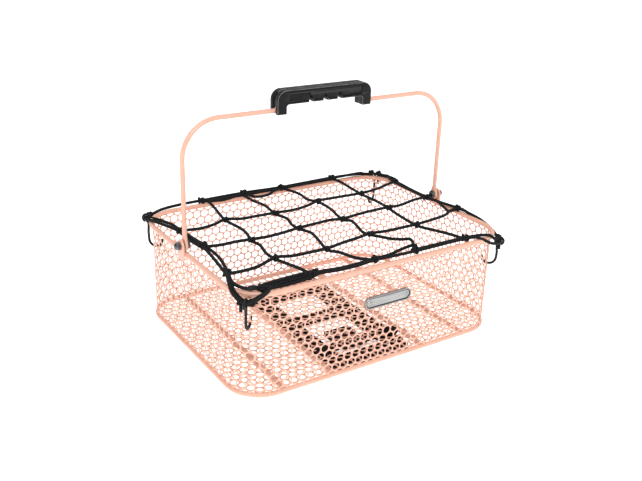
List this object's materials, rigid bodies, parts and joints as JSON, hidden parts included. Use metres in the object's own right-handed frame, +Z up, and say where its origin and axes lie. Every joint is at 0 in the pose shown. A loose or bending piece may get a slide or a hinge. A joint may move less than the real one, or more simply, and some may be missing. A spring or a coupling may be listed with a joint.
{
  "type": "bicycle rack basket",
  "caption": "Perforated powder-coated steel basket with folding bail and moulded grip, elastic cord net on wire hooks, and a sprung quick-release adapter plate under the floor.",
  "frame": {"origin": "middle of the basket in plan, on the underside of the adapter plate", "axes": "+X along the long sides, the badge side faces -Y, +Z up"},
  "size_m": [0.3644, 0.2608, 0.287],
  "materials": {
    "coat": "satin salmon powder coat",
    "moulding": "fine-grained black moulding",
    "cord": "braided elastic cord",
    "wire": "black coated wire",
    "steel": "zinc plated",
    "badge": "satin cast with a raised border"
  },
  "bodies": {
    "tub": {"top_rim": "coat", "bottom_ring": "coat", "wall_mesh": "coat", "floor_mesh": "coat", "floor_bar_1": "coat", "floor_bar_2": "coat", "floor_bar_3": "coat", "floor_bar_4": "coat", "tab_left": "coat", "tab_right": "coat", "pivot_bolt_left": "steel", "pivot_bolt_right": "steel", "pivot_spacer_left": "steel", "pivot_spacer_right": "steel", "pivot_nut_left": "steel", "pivot_nut_right": "steel", "badge_plate": "badge", "badge_rivet_left": "badge", "badge_rivet_right": "badge", "adapter_plate": "moulding", "latch_spring": "steel", "clamp_screw_left": "steel", "clamp_screw_right": "steel", "clamp_disc_left": "moulding", "clamp_disc_right": "moulding", "net_row_1": "cord", "net_row_2": "cord", "net_row_3": "cord", "net_column_1": "cord", "net_column_2": "cord", "net_column_3": "cord", "net_column_4": "cord", "net_border_upper": "cord", "net_border_lower": "cord", "net_hook_front_left": "wire", "net_hook_front_right": "wire", "net_hook_back_right": "wire", "net_hook_back_left": "wire"},
    "bail": {"bail": "coat", "grip_front": "moulding", "grip_back": "moulding"},
    "latch": {"latch_slide": "moulding"}
  },
  "joints": [
    {"name": "bail_hinge", "type": "hinge", "parent": "tub", "child": "bail", "pos_m": [0, 0.0035, 0.1334], "axis": [1, 0, 0], "range_deg": [-83, 83]},
    {"name": "latch_travel", "type": "slide", "parent": "tub", "child": "latch", "axis": [0, -1, 0], "range_m": [0, 0.008], "stiffness_N_per_m": 150, "springref_m": -0.012, "deforming": ["latch_spring"]}
  ]
}
